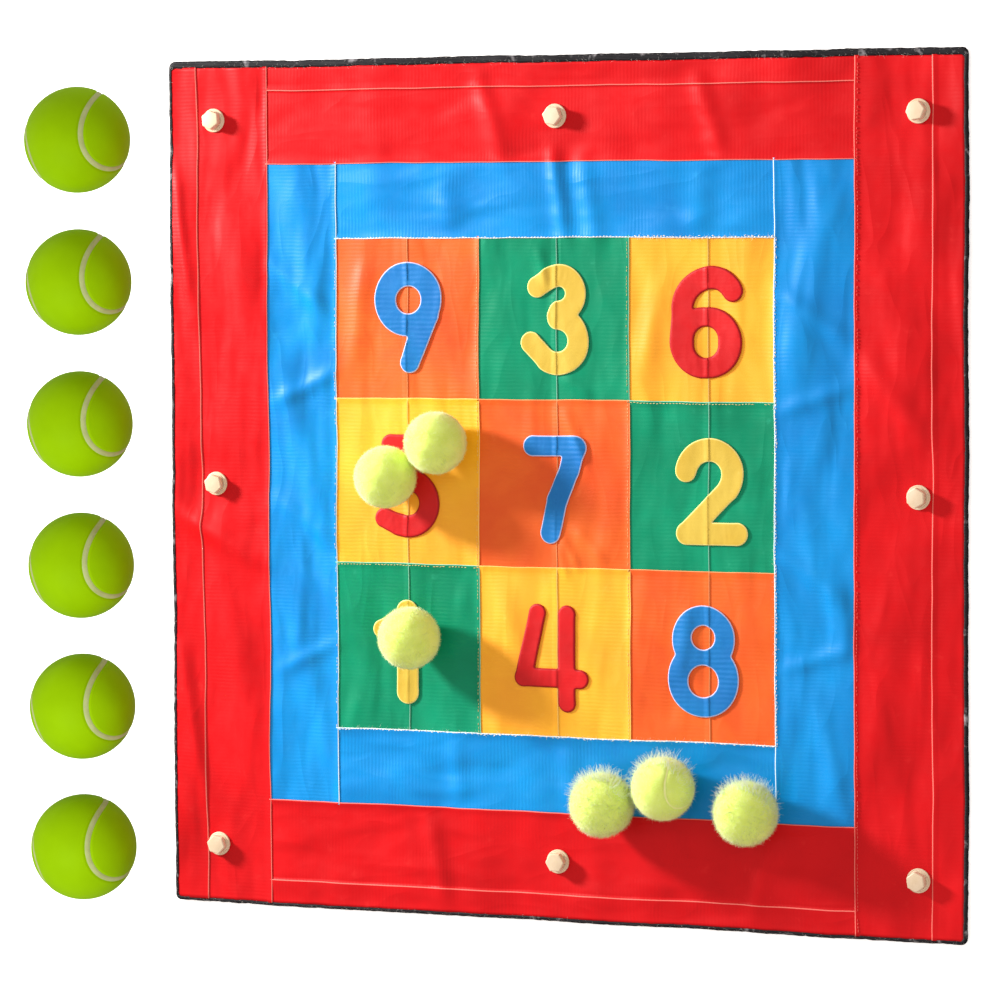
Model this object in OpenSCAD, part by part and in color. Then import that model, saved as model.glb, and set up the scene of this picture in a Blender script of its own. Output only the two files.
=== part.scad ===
// Tic tac toe toss: a square tarpaulin play mat that lies face up, nine numbered
// squares inside a blue frame and a red border, eight plastic hex screws that go
// through the border into flanged sockets, and two sets of balls to toss.
// Origin: middle of the mat's underside. X to the right, Y up the board, Z up.

/* [Board widths, left to right] */
// Black edge tape on the left
tape_left = 3; // [2:0.5:8]
// Red border on the left
border_left = 116; // [90:1:140]
// Blue frame on the left
frame_left = 82; // [60:1:100]
// First column of squares
column_1 = 167.5; // [150:0.5:200]
// Second column of squares
column_2 = 173; // [150:0.5:200]
// Third column of squares
column_3 = 161.5; // [150:0.5:200]
// Blue frame on the right
frame_right = 88; // [60:1:100]
// Red border on the right
border_right = 119; // [90:1:140]
// Black edge tape on the right
tape_right = 4; // [2:0.5:8]

/* [Board heights, bottom to top] */
// Black edge tape along the bottom
tape_bottom = 3; // [2:0.5:8]
// Red border along the bottom
border_bottom = 113; // [90:1:140]
// Blue frame along the bottom
frame_bottom = 81; // [60:1:100]
// Bottom row of squares
row_3 = 178.5; // [150:0.5:200]
// Middle row of squares
row_2 = 177; // [150:0.5:200]
// Top row of squares
row_1 = 169.5; // [150:0.5:200]
// Blue frame along the top
frame_top = 80; // [60:1:100]
// Red border along the top
border_top = 105; // [90:1:140]
// Black edge tape along the top
tape_top = 7; // [2:0.5:10]

/* [Sheets] */
// Thickness of the black backing sheet
backing_t = 2; // [1.8:0.1:3]
// Thickness of the coloured tarpaulin
cover_t = 1.2; // [0.8:0.1:1.6]
// Extra thickness where an edge is folded under
fold_t = 0.8; // [0.4:0.1:1]
// Width of a folded edge
fold_w = 3; // [2:0.5:5]
// Width of the doubled hem on the side borders
hem_w = 35; // [25:1:38]
// Distance from the red border's top or bottom edge to its seam
cross_seam = 26; // [20:1:34]
// Width of the raised seam down each square
welt_w = 2.5; // [2:0.5:4]
// How far right of its column's middle each raised seam lies
welt_shift = [-1, 2, 7]; // [-10:0.5:10]
// Corner radius of the edge tape
corner_r = 6; // [1:1:12]

/* [Digits] */
// Thickness of a digit
digit_t = 2; // [1.6:0.1:3]

/* [Screws, washers and sockets] */
// Screws left and right of the middle
screw_x = 403; // [395:1:405]
// Screws above and below the middle
screw_y = 393; // [385:1:400]
// Hex head across flats
head_af = 18.5; // [16:0.5:20]
// Hex head height
head_h = 7; // [5:0.5:9]
// Radius of the bearing collar under the head
collar_r = 7.5; // [6.5:0.5:8]
// Height of the collar under the head
collar_h = 1.3; // [1:0.1:2]
// Shank radius
shank_r = 4; // [3:0.5:5]
// Radial clearance of the shank in its socket
thread_gap = 0.05; // [0.02:0.01:0.1]
// Washer radius
washer_r = 12.75; // [11:0.25:13]
// Thickness of the washer's rim
washer_t = 2.2; // [1.6:0.1:3]
// Radius of the washer's raised ring
washer_ring_r = 10.5; // [9.5:0.25:11]
// Height of the washer's raised ring
washer_ring_h = 1; // [0.6:0.1:1.4]
// Radius of the socket's barrel
barrel_r = 5.5; // [5:0.25:5.75]
// Radius of the socket's flange
flange_r = 12; // [10:0.5:13]
// Thickness of the socket's flange
flange_t = 1.6; // [1.2:0.1:1.7]

/* [Balls] */
// Felt ball radius
felt_r = 33.5; // [30:0.5:35]
// Felt ball wall, rubber and felt together
felt_wall = 5; // [4:0.5:8]
// Smooth play ball radius
play_r = 57.5; // [50:0.5:60]
// Smooth play ball wall
play_wall = 4; // [3:0.5:8]
// Distance from the mat's middle to the column of play balls
play_x = 542; // [535:1:560]
// Spacing of the play balls
play_pitch = 154; // [135:1:160]

/* [Hidden] */
$fn = 96;

red = "#E0202A";
blue = "#159BEA";
orange = "#F57A3C";
green = "#2CB088";
yellow = "#FBC440";
pale_yellow = "#F3D978";
ivory = "#F6E7CC";
felt_green = "#D5EC70";
play_green = "#8DBB00";

// Seam lines across the board, from the left edge and from the bottom edge
mat_w = tape_left + border_left + frame_left + column_1 + column_2 + column_3
    + frame_right + border_right + tape_right;
mat_h = tape_bottom + border_bottom + frame_bottom + row_3 + row_2 + row_1
    + frame_top + border_top + tape_top;
x_red_0 = -mat_w / 2 + tape_left;
x_blue_0 = x_red_0 + border_left;
x_col_0 = x_blue_0 + frame_left;
x_col_1 = x_col_0 + column_1;
x_col_2 = x_col_1 + column_2;
x_col_3 = x_col_2 + column_3;
x_red_1 = x_col_3 + frame_right;
x_edge_1 = x_red_1 + border_right;
y_red_0 = -mat_h / 2 + tape_bottom;
y_blue_0 = y_red_0 + border_bottom;
y_row_0 = y_blue_0 + frame_bottom;
y_row_1 = y_row_0 + row_3;
y_row_2 = y_row_1 + row_2;
y_row_3 = y_row_2 + row_1;
y_red_1 = y_row_3 + frame_top;
y_edge_1 = y_red_1 + border_top;
cols = [x_col_0, x_col_1, x_col_2, x_col_3];
rows = [y_row_0, y_row_1, y_row_2, y_row_3];
function col_mid(i) = (cols[i] + cols[i + 1]) / 2;
function row_mid(i) = (rows[i] + rows[i + 1]) / 2;
function welt_x0(i) = col_mid(i) + welt_shift[i] - welt_w / 2;
function welt_x1(i) = welt_x0(i) + welt_w;

// Levels above the ground
z_cover = backing_t;
z_top = backing_t + cover_t;
z_digit = z_top + digit_t;
z_washer = z_top + washer_t + washer_ring_h;
z_head = z_washer + collar_h;
barrel_top = z_top + 1.8;
socket_floor = 0.4;
shank_low = 0.8;
barrel_hole_r = barrel_r + 0.3;
groove_gap = 0.1;
stroke_ease = 0.25;
cut = 0.5;

// Screw places: left to right, top row first
screw_at = [
    [-screw_x, screw_y], [0, screw_y], [screw_x, screw_y],
    [-screw_x, 0], [screw_x, 0],
    [-screw_x, -screw_y], [0, -screw_y], [screw_x, -screw_y]
];

// A flat panel between two corners of the board
module panel(x0, y0, x1, y1, z = z_cover, t = cover_t)
    translate([x0, y0, z]) cube([x1 - x0, y1 - y0, t]);

// A raised line on top of a cover panel
module ridge(x0, y0, x1, y1, t = fold_t) panel(x0, y0, x1, y1, z_top, t);

// Holes for the socket barrels through the covers
module barrel_holes()
    for (p = screw_at)
        translate([p[0], p[1], -cut]) cylinder(r = barrel_hole_r, h = z_top + 2 * cut);

module backing_sheet()
    color("#1D1D20") difference() {
        panel(x_red_0, y_red_0, x_edge_1, y_edge_1, 0, backing_t);
        barrel_holes();
        for (p = screw_at)
            translate([p[0], p[1], -cut]) cylinder(r = flange_r + 0.3, h = flange_t + cut);
    }

module edge_tape()
    color("#232326") linear_extrude(z_top) difference() {
        union() {
            for (sx = [-1, 1], sy = [-1, 1])
                translate([sx * (mat_w / 2 - corner_r), sy * (mat_h / 2 - corner_r)]) circle(corner_r);
            square([mat_w - 2 * corner_r, mat_h], center = true);
            square([mat_w, mat_h - 2 * corner_r], center = true);
        }
        translate([x_red_0, y_red_0]) square([x_edge_1 - x_red_0, y_edge_1 - y_red_0]);
    }

// Side border: full height, doubled hem outside, folded edge inside
module side_border(x0, x1, hem_x0, hem_x1, fold_x0)
    color(red) difference() {
        union() {
            panel(x0, y_red_0, x1, y_edge_1);
            ridge(hem_x0, y_red_0, hem_x1, y_edge_1);
            ridge(fold_x0, y_red_0, fold_x0 + fold_w, y_edge_1);
        }
        barrel_holes();
    }

module red_border_left()
    side_border(x_red_0, x_blue_0, x_red_0, x_red_0 + hem_w, x_blue_0 - fold_w);

module red_border_right()
    side_border(x_red_1, x_edge_1, x_edge_1 - hem_w, x_edge_1, x_red_1);

// Top or bottom border, between the side borders, with one seam across it
module cross_border(y0, y1, seam_y)
    color(red) difference() {
        union() {
            panel(x_blue_0, y0, x_red_1, y1);
            ridge(x_blue_0, seam_y - fold_w / 2, x_red_1, seam_y + fold_w / 2);
        }
        barrel_holes();
    }

module red_border_top() cross_border(y_red_1, y_edge_1, y_edge_1 - cross_seam);

module red_border_bottom() cross_border(y_red_0, y_blue_0, y_red_0 + cross_seam);

module blue_frame_left()
    color(blue) {
        panel(x_blue_0, y_blue_0, x_col_0, y_red_1);
        ridge(x_col_0 - fold_w, y_row_0, x_col_0, y_row_3);
    }

module blue_frame_right()
    color(blue) {
        panel(x_col_3, y_blue_0, x_red_1, y_red_1);
        ridge(x_col_3, y_row_0, x_col_3 + fold_w, y_row_3);
    }

module blue_frame_top()
    color(blue) {
        panel(x_col_0, y_row_3, x_col_3, y_red_1);
        ridge(x_col_0, y_row_3, x_col_3, y_row_3 + fold_w);
    }

module blue_frame_bottom()
    color(blue) {
        panel(x_col_0, y_blue_0, x_col_3, y_row_0);
        ridge(x_col_0, y_row_0 - fold_w, x_col_3, y_row_0);
    }

// One square of the board with the raised seam down it
module board_square(col, row, tint)
    color(tint) {
        panel(cols[col], rows[row], cols[col + 1], rows[row + 1]);
        ridge(welt_x0(col), rows[row], welt_x1(col), rows[row + 1]);
    }

// Strokes that the digits are built from, one digit thick. A stroke's straight part is
// a hair narrower than its round ends, so that walls cross and never just touch.
module dot(p, r) translate(p) cylinder(r = r, h = digit_t);

module slab(points) linear_extrude(digit_t) polygon(points);

module bar(p, q, r) taper(p, r, q, r);

module taper(p, rp, q, rq) {
    run = q - p;
    turn = atan2(run[1], run[0]);
    lean = acos((rp - rq) / norm(run));
    left = [cos(turn + lean), sin(turn + lean)];
    right = [cos(turn - lean), sin(turn - lean)];
    dot(p, rp);
    slab([
        p + (rp - stroke_ease) * left, q + (rq - stroke_ease) * left,
        q + (rq - stroke_ease) * right, p + (rp - stroke_ease) * right
    ]);
    dot(q, rq);
}

module arc(c, r, half, from, to) {
    steps = ceil((to - from) / 45);
    reach = 2 * (r + half);
    intersection() {
        difference() {
            dot(c, r + half);
            hole(c, r - half);
        }
        slab(concat([c], [for (i = [0:steps])
            let (t = from + (to - from) * i / steps) c + reach * [cos(t), sin(t)]]));
    }
    dot(c + r * [cos(from), sin(from)], half - stroke_ease);
    dot(c + r * [cos(to), sin(to)], half - stroke_ease);
}

module hole(p, r) translate([p[0], p[1], -cut]) cylinder(r = r, h = digit_t + 2 * cut);

// Digits about the middle of their square
module strokes_1() {
    bar([0, 43], [0, -43], 13);
    taper([-30.5, 24], 10, [-0.6, 36.5], 10.8);
}

module strokes_2() {
    arc([-2.5, 17.5], 26.3, 12.2, -40, 172);
    bar([17.6, 0.6], [-27.4, -44.2], 11.7);
    bar([-27.4, -44.2], [29, -44.2], 12.2);
}

module strokes_3() {
    arc([5, 27], 19.2, 12, -90, 125);
    bar([-6, 42.7], [-19.5, 34.5], 11.5);
    arc([4, -22.5], 23.6, 12.2, -125, 90);
    bar([-9.5, -41.8], [-26.5, -24], 11.7);
    dot([3.5, 3.6], 12);
}

module strokes_4() {
    bar([-17, 47.5], [-32, -20.5], 10);
    bar([-32, -20.5], [31.5, -21.5], 10.3);
    bar([16.8, 46.5], [16.8, -47], 10);
}

module strokes_5() {
    bar([-18.6, 44], [25, 44], 11.8);
    taper([-22.8, 4], 10.7, [-19, 40], 10.9);
    arc([1.5, -18.3], 25, 12, -115, 152);
    taper([-9.6, -41.6], 12, [-26.5, -34.3], 11);
}

module strokes_6() difference() {
    union() {
        arc([8, 20.9], 25.2, 12, 27, 94);
        arc([8, 12], 34.15, 12.15, 86, 180);
        taper([-26.1, 14], 11.6, [-26.5, -14], 12.8);
        bar([-3, -21.3], [4.2, -21.3], 36.9);
    }
    hole([0.9, -17.8], 13.4);
    hole([0.9, -23.6], 13.4);
}

module strokes_7() {
    bar([-24.8, 46], [20, 45.6], 11.2);
    taper([24, 43.2], 13.4, [17, 20], 12.1);
    taper([17, 20.4], 11.8, [4, -11], 12.5);
    taper([4, -10.6], 12.2, [-3.5, -45.6], 12);
}

module strokes_8() difference() {
    union() {
        dot([-0.5, 23.6], 35.2);
        dot([-0.5, -18.8], 40);
    }
    hole([-0.7, 25], 12.6);
    hole([-0.7, -20.8], 16.8);
}

module strokes_9() difference() {
    union() {
        dot([0.9, 20.6], 39.6);
        taper([3.6, -46.8], 11.7, [23.5, 4.5], 14);
    }
    hole([1.2, 19.9], 14.5);
}

// A digit lies on its square, with a groove under it for the raised seam
module digit(col, row, tint, shift = [0, 0])
    color(tint) difference() {
        translate([col_mid(col) + shift[0], row_mid(row) + shift[1], z_top]) children();
        translate([0, 0, -cut])
            panel(welt_x0(col) - groove_gap, rows[row], welt_x1(col) + groove_gap, rows[row + 1],
                z_top, fold_t + groove_gap + cut);
    }

module digit_9() digit(0, 2, blue) strokes_9();
module digit_3() digit(1, 2, pale_yellow, [1, -1]) strokes_3();
module digit_6() digit(2, 2, red, [5, -2]) strokes_6();
module digit_5() digit(0, 1, red, [-1.5, -6]) strokes_5();
module digit_7() digit(1, 1, blue, [0, -6]) strokes_7();
module digit_2() digit(2, 1, pale_yellow, [11, -5]) strokes_2();
module digit_1() digit(0, 0, pale_yellow, [-2, -6]) strokes_1();
module digit_4() digit(1, 0, red, [-3, -7]) strokes_4();
module digit_8() digit(2, 0, blue, [2, -5]) strokes_8();

// Flanged sockets, pressed up through the mat from below
module screw_sockets()
    color(ivory) for (p = screw_at)
        translate([p[0], p[1], 0]) difference() {
            union() {
                cylinder(r = flange_r, h = flange_t);
                cylinder(r = barrel_r, h = barrel_top);
            }
            translate([0, 0, socket_floor]) cylinder(r = shank_r + thread_gap, h = barrel_top);
        }

module washer(i)
    color(ivory) translate([screw_at[i][0], screw_at[i][1], z_top]) difference() {
        union() {
            cylinder(r = washer_r, h = washer_t);
            cylinder(r = washer_ring_r, h = washer_t + washer_ring_h);
        }
        translate([0, 0, -cut]) cylinder(r = barrel_hole_r, h = washer_t + washer_ring_h + 2 * cut);
    }

// Hex head with a chamfered crown and a shallow dish, a collar and a plain shank
module hex_screw(i) {
    corner = head_af / 2 / cos(30);
    crown = 2;
    dish_r = 5;
    color(ivory) translate([screw_at[i][0], screw_at[i][1], 0]) {
        difference() {
            translate([0, 0, z_head]) intersection() {
                cylinder(r = corner, h = head_h, $fn = 6);
                union() {
                    cylinder(r = corner + 1, h = head_h - crown);
                    translate([0, 0, head_h - crown])
                        cylinder(r1 = corner + 0.4, r2 = head_af / 2 - 1.6, h = crown);
                }
            }
            translate([0, 0, z_head + head_h - 0.8]) cylinder(r1 = dish_r - 1, r2 = dish_r, h = 1);
        }
        translate([0, 0, z_washer]) cylinder(r = collar_r, h = collar_h);
        translate([0, 0, shank_low]) cylinder(r = shank_r, h = z_head - shank_low);
    }
}

// A hollow ball standing at a height
module ball(x, y, low, r, wall, tint)
    color(tint) translate([x, y, low + r]) difference() {
        sphere(r);
        sphere(r - wall);
    }

module felt_ball(x, y, low) ball(x, y, low, felt_r, felt_wall, felt_green);

module play_ball(i) ball(-play_x, (2.5 - i) * play_pitch - 12, 0, play_r, play_wall, play_green);

backing_sheet();
edge_tape();
red_border_left();
red_border_right();
red_border_top();
red_border_bottom();
blue_frame_left();
blue_frame_right();
blue_frame_top();
blue_frame_bottom();
board_square(0, 2, orange);  // square_9
board_square(1, 2, green);  // square_3
board_square(2, 2, yellow);  // square_6
board_square(0, 1, yellow);  // square_5
board_square(1, 1, orange);  // square_7
board_square(2, 1, green);  // square_2
board_square(0, 0, green);  // square_1
board_square(1, 0, yellow);  // square_4
board_square(2, 0, orange);  // square_8
digit_9();
digit_3();
digit_6();
digit_5();
digit_7();
digit_2();
digit_1();
digit_4();
digit_8();
screw_sockets();
washer(0);  // washer_top_left
washer(1);  // washer_top_middle
washer(2);  // washer_top_right
washer(3);  // washer_middle_left
washer(4);  // washer_middle_right
washer(5);  // washer_bottom_left
washer(6);  // washer_bottom_middle
washer(7);  // washer_bottom_right
hex_screw(0);  // screw_top_left
hex_screw(1);  // screw_top_middle
hex_screw(2);  // screw_top_right
hex_screw(3);  // screw_middle_left
hex_screw(4);  // screw_middle_right
hex_screw(5);  // screw_bottom_left
hex_screw(6);  // screw_bottom_middle
hex_screw(7);  // screw_bottom_right
felt_ball(-125, 49.5, 4);  // felt_ball_upper
felt_ball(-183.5, 12.5, z_digit);  // felt_ball_left
felt_ball(-156.5, -158, z_digit);  // felt_ball_low
felt_ball(64.5, -326.5, z_top);  // felt_ball_edge_left
felt_ball(133.5, -306.5, z_top);  // felt_ball_edge_middle
felt_ball(226, -328.5, z_top);  // felt_ball_edge_right
play_ball(0);  // play_ball_1
play_ball(1);  // play_ball_2
play_ball(2);  // play_ball_3
play_ball(3);  // play_ball_4
play_ball(4);  // play_ball_5
play_ball(5);  // play_ball_6
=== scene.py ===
import math
import random

import bmesh
import bpy
from mathutils import Euler, Matrix, Vector, kdtree, noise


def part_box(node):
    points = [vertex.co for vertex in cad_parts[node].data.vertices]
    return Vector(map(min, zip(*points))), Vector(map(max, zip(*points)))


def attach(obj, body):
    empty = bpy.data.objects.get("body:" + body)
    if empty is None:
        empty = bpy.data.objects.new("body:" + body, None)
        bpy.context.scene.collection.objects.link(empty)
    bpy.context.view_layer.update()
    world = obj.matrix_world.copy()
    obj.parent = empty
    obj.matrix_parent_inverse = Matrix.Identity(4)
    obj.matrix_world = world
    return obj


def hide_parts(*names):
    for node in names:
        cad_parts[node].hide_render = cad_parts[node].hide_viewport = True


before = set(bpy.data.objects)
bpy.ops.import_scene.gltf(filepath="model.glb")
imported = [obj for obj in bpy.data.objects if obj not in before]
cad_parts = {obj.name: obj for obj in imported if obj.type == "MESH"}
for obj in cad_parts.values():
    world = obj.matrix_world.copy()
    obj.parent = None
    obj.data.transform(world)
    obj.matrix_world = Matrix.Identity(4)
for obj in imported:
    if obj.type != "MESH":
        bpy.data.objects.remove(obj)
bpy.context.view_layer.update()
scene = bpy.context.scene
mm = 0.001
fullTurn = 2 * math.pi


# Camera, made first. The mat lies flat, seen from above and a little from its right.
viewPoint = {
    "aim": (-0.0672, -0.0118, 0.0),
    "back": (0.41211, 0.05739, 0.90933),
    "distance": 5.295,
    "rollDegrees": -0.28,
    "lens": 180,
}


def makeCamera():
    data = bpy.data.cameras.new("camera")
    camera = bpy.data.objects.new("camera", data)
    scene.collection.objects.link(camera)
    data.lens = viewPoint["lens"]
    data.sensor_width = 36
    data.clip_start = 0.1
    data.clip_end = 60
    back = Vector(viewPoint["back"]).normalized()
    side = Vector((0, 1, 0)).cross(back).normalized()
    turn = Matrix((side, back.cross(side), back)).transposed().to_4x4()
    roll = Matrix.Rotation(math.radians(viewPoint["rollDegrees"]), 4, "Z")
    place = Vector(viewPoint["aim"]) + back * viewPoint["distance"]
    camera.matrix_world = Matrix.Translation(place) @ turn @ roll
    scene.camera = camera


makeCamera()


# Small helpers
def paint(code, alpha=1.0):
    # "#RRGGBB" as the linear colour that a shader takes
    parts = [int(code[i:i + 2], 16) / 255 for i in (1, 3, 5)]
    linear = [p / 12.92 if p <= 0.04045 else ((p + 0.055) / 1.055) ** 2.4 for p in parts]
    return (*linear, alpha)


def ease(start, end, value):
    # 0 before start, 1 after end, smooth between
    t = min(1.0, max(0.0, (value - start) / (end - start)))
    return t * t * (3 - 2 * t)


def ripple(x, y, z=0.0):
    return noise.noise(Vector((x, y, z)))


def faceUp(bm):
    # an open sheet's normals, all to its upper side
    bmesh.ops.recalc_face_normals(bm, faces=bm.faces[:])
    if sum(f.normal.z * f.calc_area() for f in bm.faces) < 0:
        bmesh.ops.reverse_faces(bm, faces=bm.faces[:])


def uprightEdges(bm, least):
    return [e for e in bm.edges if abs(e.verts[0].co.z - e.verts[1].co.z) > least]


def degreesTurn(angles):
    return Euler([math.radians(a) for a in angles], "XYZ").to_matrix()


def bevelEdges(bm, edges, offset, segments):
    bmesh.ops.bevel(bm, geom=edges, offset=offset, segments=segments, profile=0.5, affect="EDGES",
                    material=-1)


def meshOf(bm, name):
    mesh = bpy.data.meshes.new(name)
    bm.to_mesh(mesh)
    bm.free()
    return mesh


def spinRound(bm, steps):
    bmesh.ops.spin(bm, geom=bm.verts[:] + bm.edges[:], cent=(0, 0, 0), axis=(0, 0, 1), dvec=(0, 0, 0),
                   angle=fullTurn, steps=steps, use_merge=True, use_duplicate=False)


def finishPiece(bm, name, material, body="mat"):
    mesh = meshOf(bm, name)
    mesh.polygons.foreach_set("use_smooth", [True] * len(mesh.polygons))
    mesh.materials.append(material)
    piece = bpy.data.objects.new(name, mesh)
    scene.collection.objects.link(piece)
    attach(piece, body)
    return piece


# Levels and places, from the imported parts
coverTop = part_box("digit_8")[0].z
coverThick = 1.2 * mm
matLow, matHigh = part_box("edge_tape")
redLow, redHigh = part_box("backing_sheet")
screwNames = [
    "top_left", "top_middle", "top_right", "middle_left", "middle_right",
    "bottom_left", "bottom_middle", "bottom_right",
]


def middleOf(node):
    low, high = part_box(node)
    return (low + high) / 2


screwSpots = {name: middleOf("screw_" + name) for name in screwNames}
feltNames = ["upper", "left", "low", "edge_left", "edge_middle", "edge_right"]
feltSpots = {name: middleOf("felt_ball_" + name) for name in feltNames}


# How the whole mat lies: one height over the ground that every layer shares
drapeShape = {
    "long": 1.8 * mm,  # slow waves
    "short": 2.1 * mm,  # creases between them
    "fold": 1.9,  # height of the single folds below, as a share
    "inside": 0.5,  # share of it left inside the blue frame
    "flatRound": 16 * mm,  # flat under a washer
    "flatOut": 55 * mm,
}
# Single folds in millimetres: start, end, half width and height
foldRows = [
    ((-4, 375), (10, 268), 9, 2.2), ((30, 350), (46, 262), 12, 1.8),
    ((-300, 330), (-285, 180), 20, 2), ((-320, 120), (-275, -40), 17, 2.2),
    ((-315, -110), (-280, -250), 15, 1.8), ((-385, 300), (-350, 120), 22, 2),
    ((-395, -120), (-350, -300), 24, 2.2), ((300, 300), (270, 120), 18, 2.2),
    ((262, 20), (325, -150), 16, 2), ((290, -200), (320, -320), 15, 1.8),
    ((370, 250), (400, 80), 26, 2.2), ((380, -90), (350, -290), 26, 2.2),
    ((-130, 330), (-120, 275), 14, 1.4), ((170, 340), (160, 270), 16, 1.6),
    ((-120, -270), (-110, -335), 12, 1.4), ((10, -270), (20, -335), 13, 1.4),
    # the folds it was stored with, across the strips
    ((-330, 235), (-268, 190), 9, 1.6), ((-328, 90), (-262, 120), 8.5, 1.5),
    ((-326, -15), (-262, -60), 9.5, 1.8), ((-324, -200), (-262, -170), 8.5, 1.4),
    ((255, 210), (328, 160), 9.5, 1.7), ((252, 85), (328, 110), 9, 1.4),
    ((252, -60), (326, -110), 9.5, 1.8), ((258, -180), (326, -160), 8, 1.3),
    ((-90, 440), (-60, 350), 11, 1.8), ((160, 435), (190, 352), 11, 1.6),
    ((-150, -352), (-130, -440), 11, 1.6), ((240, -360), (220, -440), 11, 1.6),
    # puckers beside the raised seams
    ((6, -48), (26, -82), 4.8, 1.3), ((4, -60), (12, -92), 4.2, 1),
    ((22, -40), (52, -72), 6, 1.2), ((10, 84), (36, 20), 6.5, 1.3),
    ((-20, 255), (-10, 215), 6, 1.2), ((8, 118), (40, 100), 5, 1),
    ((150, -120), (140, -190), 10, 1.4), ((-60, -110), (-40, -220), 12, 1.6),
    ((-225, 230), (-235, 130), 11, 1.4), ((120, 230), (105, 130), 11, 1.4),
    ((-445, -30), (-350, -85), 12, 2.6), ((-448, 330), (-428, 180), 8, 2),
    ((-448, -180), (-424, -330), 8.5, 2), ((346, 140), (410, 60), 14, 2.4),
]
# the same in metres, as start, run, half width and height
drapeFolds = [[v * mm for v in (*start, end[0] - start[0], end[1] - start[1], half, tall)]
              for start, end, half, tall in foldRows]


def foldHeight(x, y):
    total = 0.0
    for x0, y0, runX, runY, half, tall in drapeFolds:
        along = ((x - x0) * runX + (y - y0) * runY) / (runX * runX + runY * runY)
        if along < -0.25 or along > 1.25:
            continue
        away = ((x - x0) * runY - (y - y0) * runX) / math.hypot(runX, runY)
        if abs(away) > 3 * half:
            continue
        fade = ease(-0.25, 0.25, along) * (1 - ease(0.75, 1.25, along))
        total += drapeShape["fold"] * tall * fade * math.exp(-(away / half) ** 2)
    return total


def drape(x, y):
    sideways = ease(0.20, 0.27, abs(x))
    endways = ease(0.22, 0.29, abs(y)) * (1 - sideways)
    outside = max(sideways, ease(0.22, 0.29, abs(y)))
    share = drapeShape["inside"] + (1 - drapeShape["inside"]) * outside
    # side strips crease on the slant, top and bottom strips across
    slant = ripple(x * 17 + y * 4, y * 7 - x * 3, 2.3)
    across = ripple(x * 21, y * 5, 7.7)
    short = slant * (1 - endways) + across * endways
    long = 0.5 + 0.5 * ripple(x * 6.5 + 3, y * 5.2, 0.4)
    tall = share * (drapeShape["long"] * long + drapeShape["short"] * (0.45 + short))
    tall += share * 0.25 * mm * ripple(x * 46, y * 30, 5.5)
    tall += foldHeight(x, y)
    for spot in screwSpots.values():
        away = math.hypot(x - spot.x, y - spot.y)
        if away < drapeShape["flatOut"]:
            tall *= ease(drapeShape["flatRound"], drapeShape["flatOut"], away)
    for spot in feltSpots.values():
        away = math.hypot(x - spot.x, y - spot.y)
        if away < 0.05:
            tall *= ease(0.006, 0.05, away)
    return max(0.0, tall)


def sway(x, y):
    # the seams are sewn by hand, so every line wanders a little
    dx = 1.1 * mm * ripple(x * 3, y * 9, 11.0) + 0.5 * mm * ripple(x * 8, y * 34, 13.0)
    dy = 1.1 * mm * ripple(x * 9, y * 3, 17.0) + 0.5 * mm * ripple(x * 34, y * 8, 19.0)
    return dx, dy


# Shader groups that several finishes share
def newGroup(name, inputs, outputs):
    group = bpy.data.node_groups.new(name, "ShaderNodeTree")
    for socket, kind, value in inputs:
        made = group.interface.new_socket(name=socket, in_out="INPUT", socket_type=kind)
        if value is not None:
            made.default_value = value
    for socket, kind in outputs:
        group.interface.new_socket(name=socket, in_out="OUTPUT", socket_type=kind)
    return group, group.nodes.new("NodeGroupInput"), group.nodes.new("NodeGroupOutput")


def addMath(tree, operation, first, second=None, clamp=False):
    node = tree.nodes.new("ShaderNodeMath")
    node.operation = operation
    node.use_clamp = clamp
    for socket, value in zip(node.inputs, (first, second)):
        if isinstance(value, (int, float)):
            socket.default_value = value
        elif value is not None:
            tree.links.new(value, socket)
    return node.outputs[0]


def addNoise(tree, vector, scale, detail=2.0, roughness=0.5, distortion=0.0):
    node = tree.nodes.new("ShaderNodeTexNoise")
    if vector is not None:
        tree.links.new(vector, node.inputs["Vector"])
    for socket, value in (("Scale", scale), ("Detail", detail), ("Roughness", roughness),
                          ("Distortion", distortion)):
        if isinstance(value, (int, float)):
            node.inputs[socket].default_value = value
        else:
            tree.links.new(value, node.inputs[socket])
    return node.outputs["Fac"]


def addMix(tree, amount, first, second, blend="MIX"):
    node = tree.nodes.new("ShaderNodeMix")
    node.data_type = "RGBA"
    node.blend_type = blend
    for socket, value in ((node.inputs[0], amount), (node.inputs[6], first), (node.inputs[7], second)):
        if hasattr(value, "is_output"):
            tree.links.new(value, socket)
        else:
            socket.default_value = value
    return node.outputs[2]


def addRange(tree, value, low, high, toLow, toHigh):
    node = tree.nodes.new("ShaderNodeMapRange")
    tree.links.new(value, node.inputs["Value"])
    for socket, number in (("From Min", low), ("From Max", high), ("To Min", toLow), ("To Max", toHigh)):
        node.inputs[socket].default_value = number
    return node.outputs["Result"]


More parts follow.
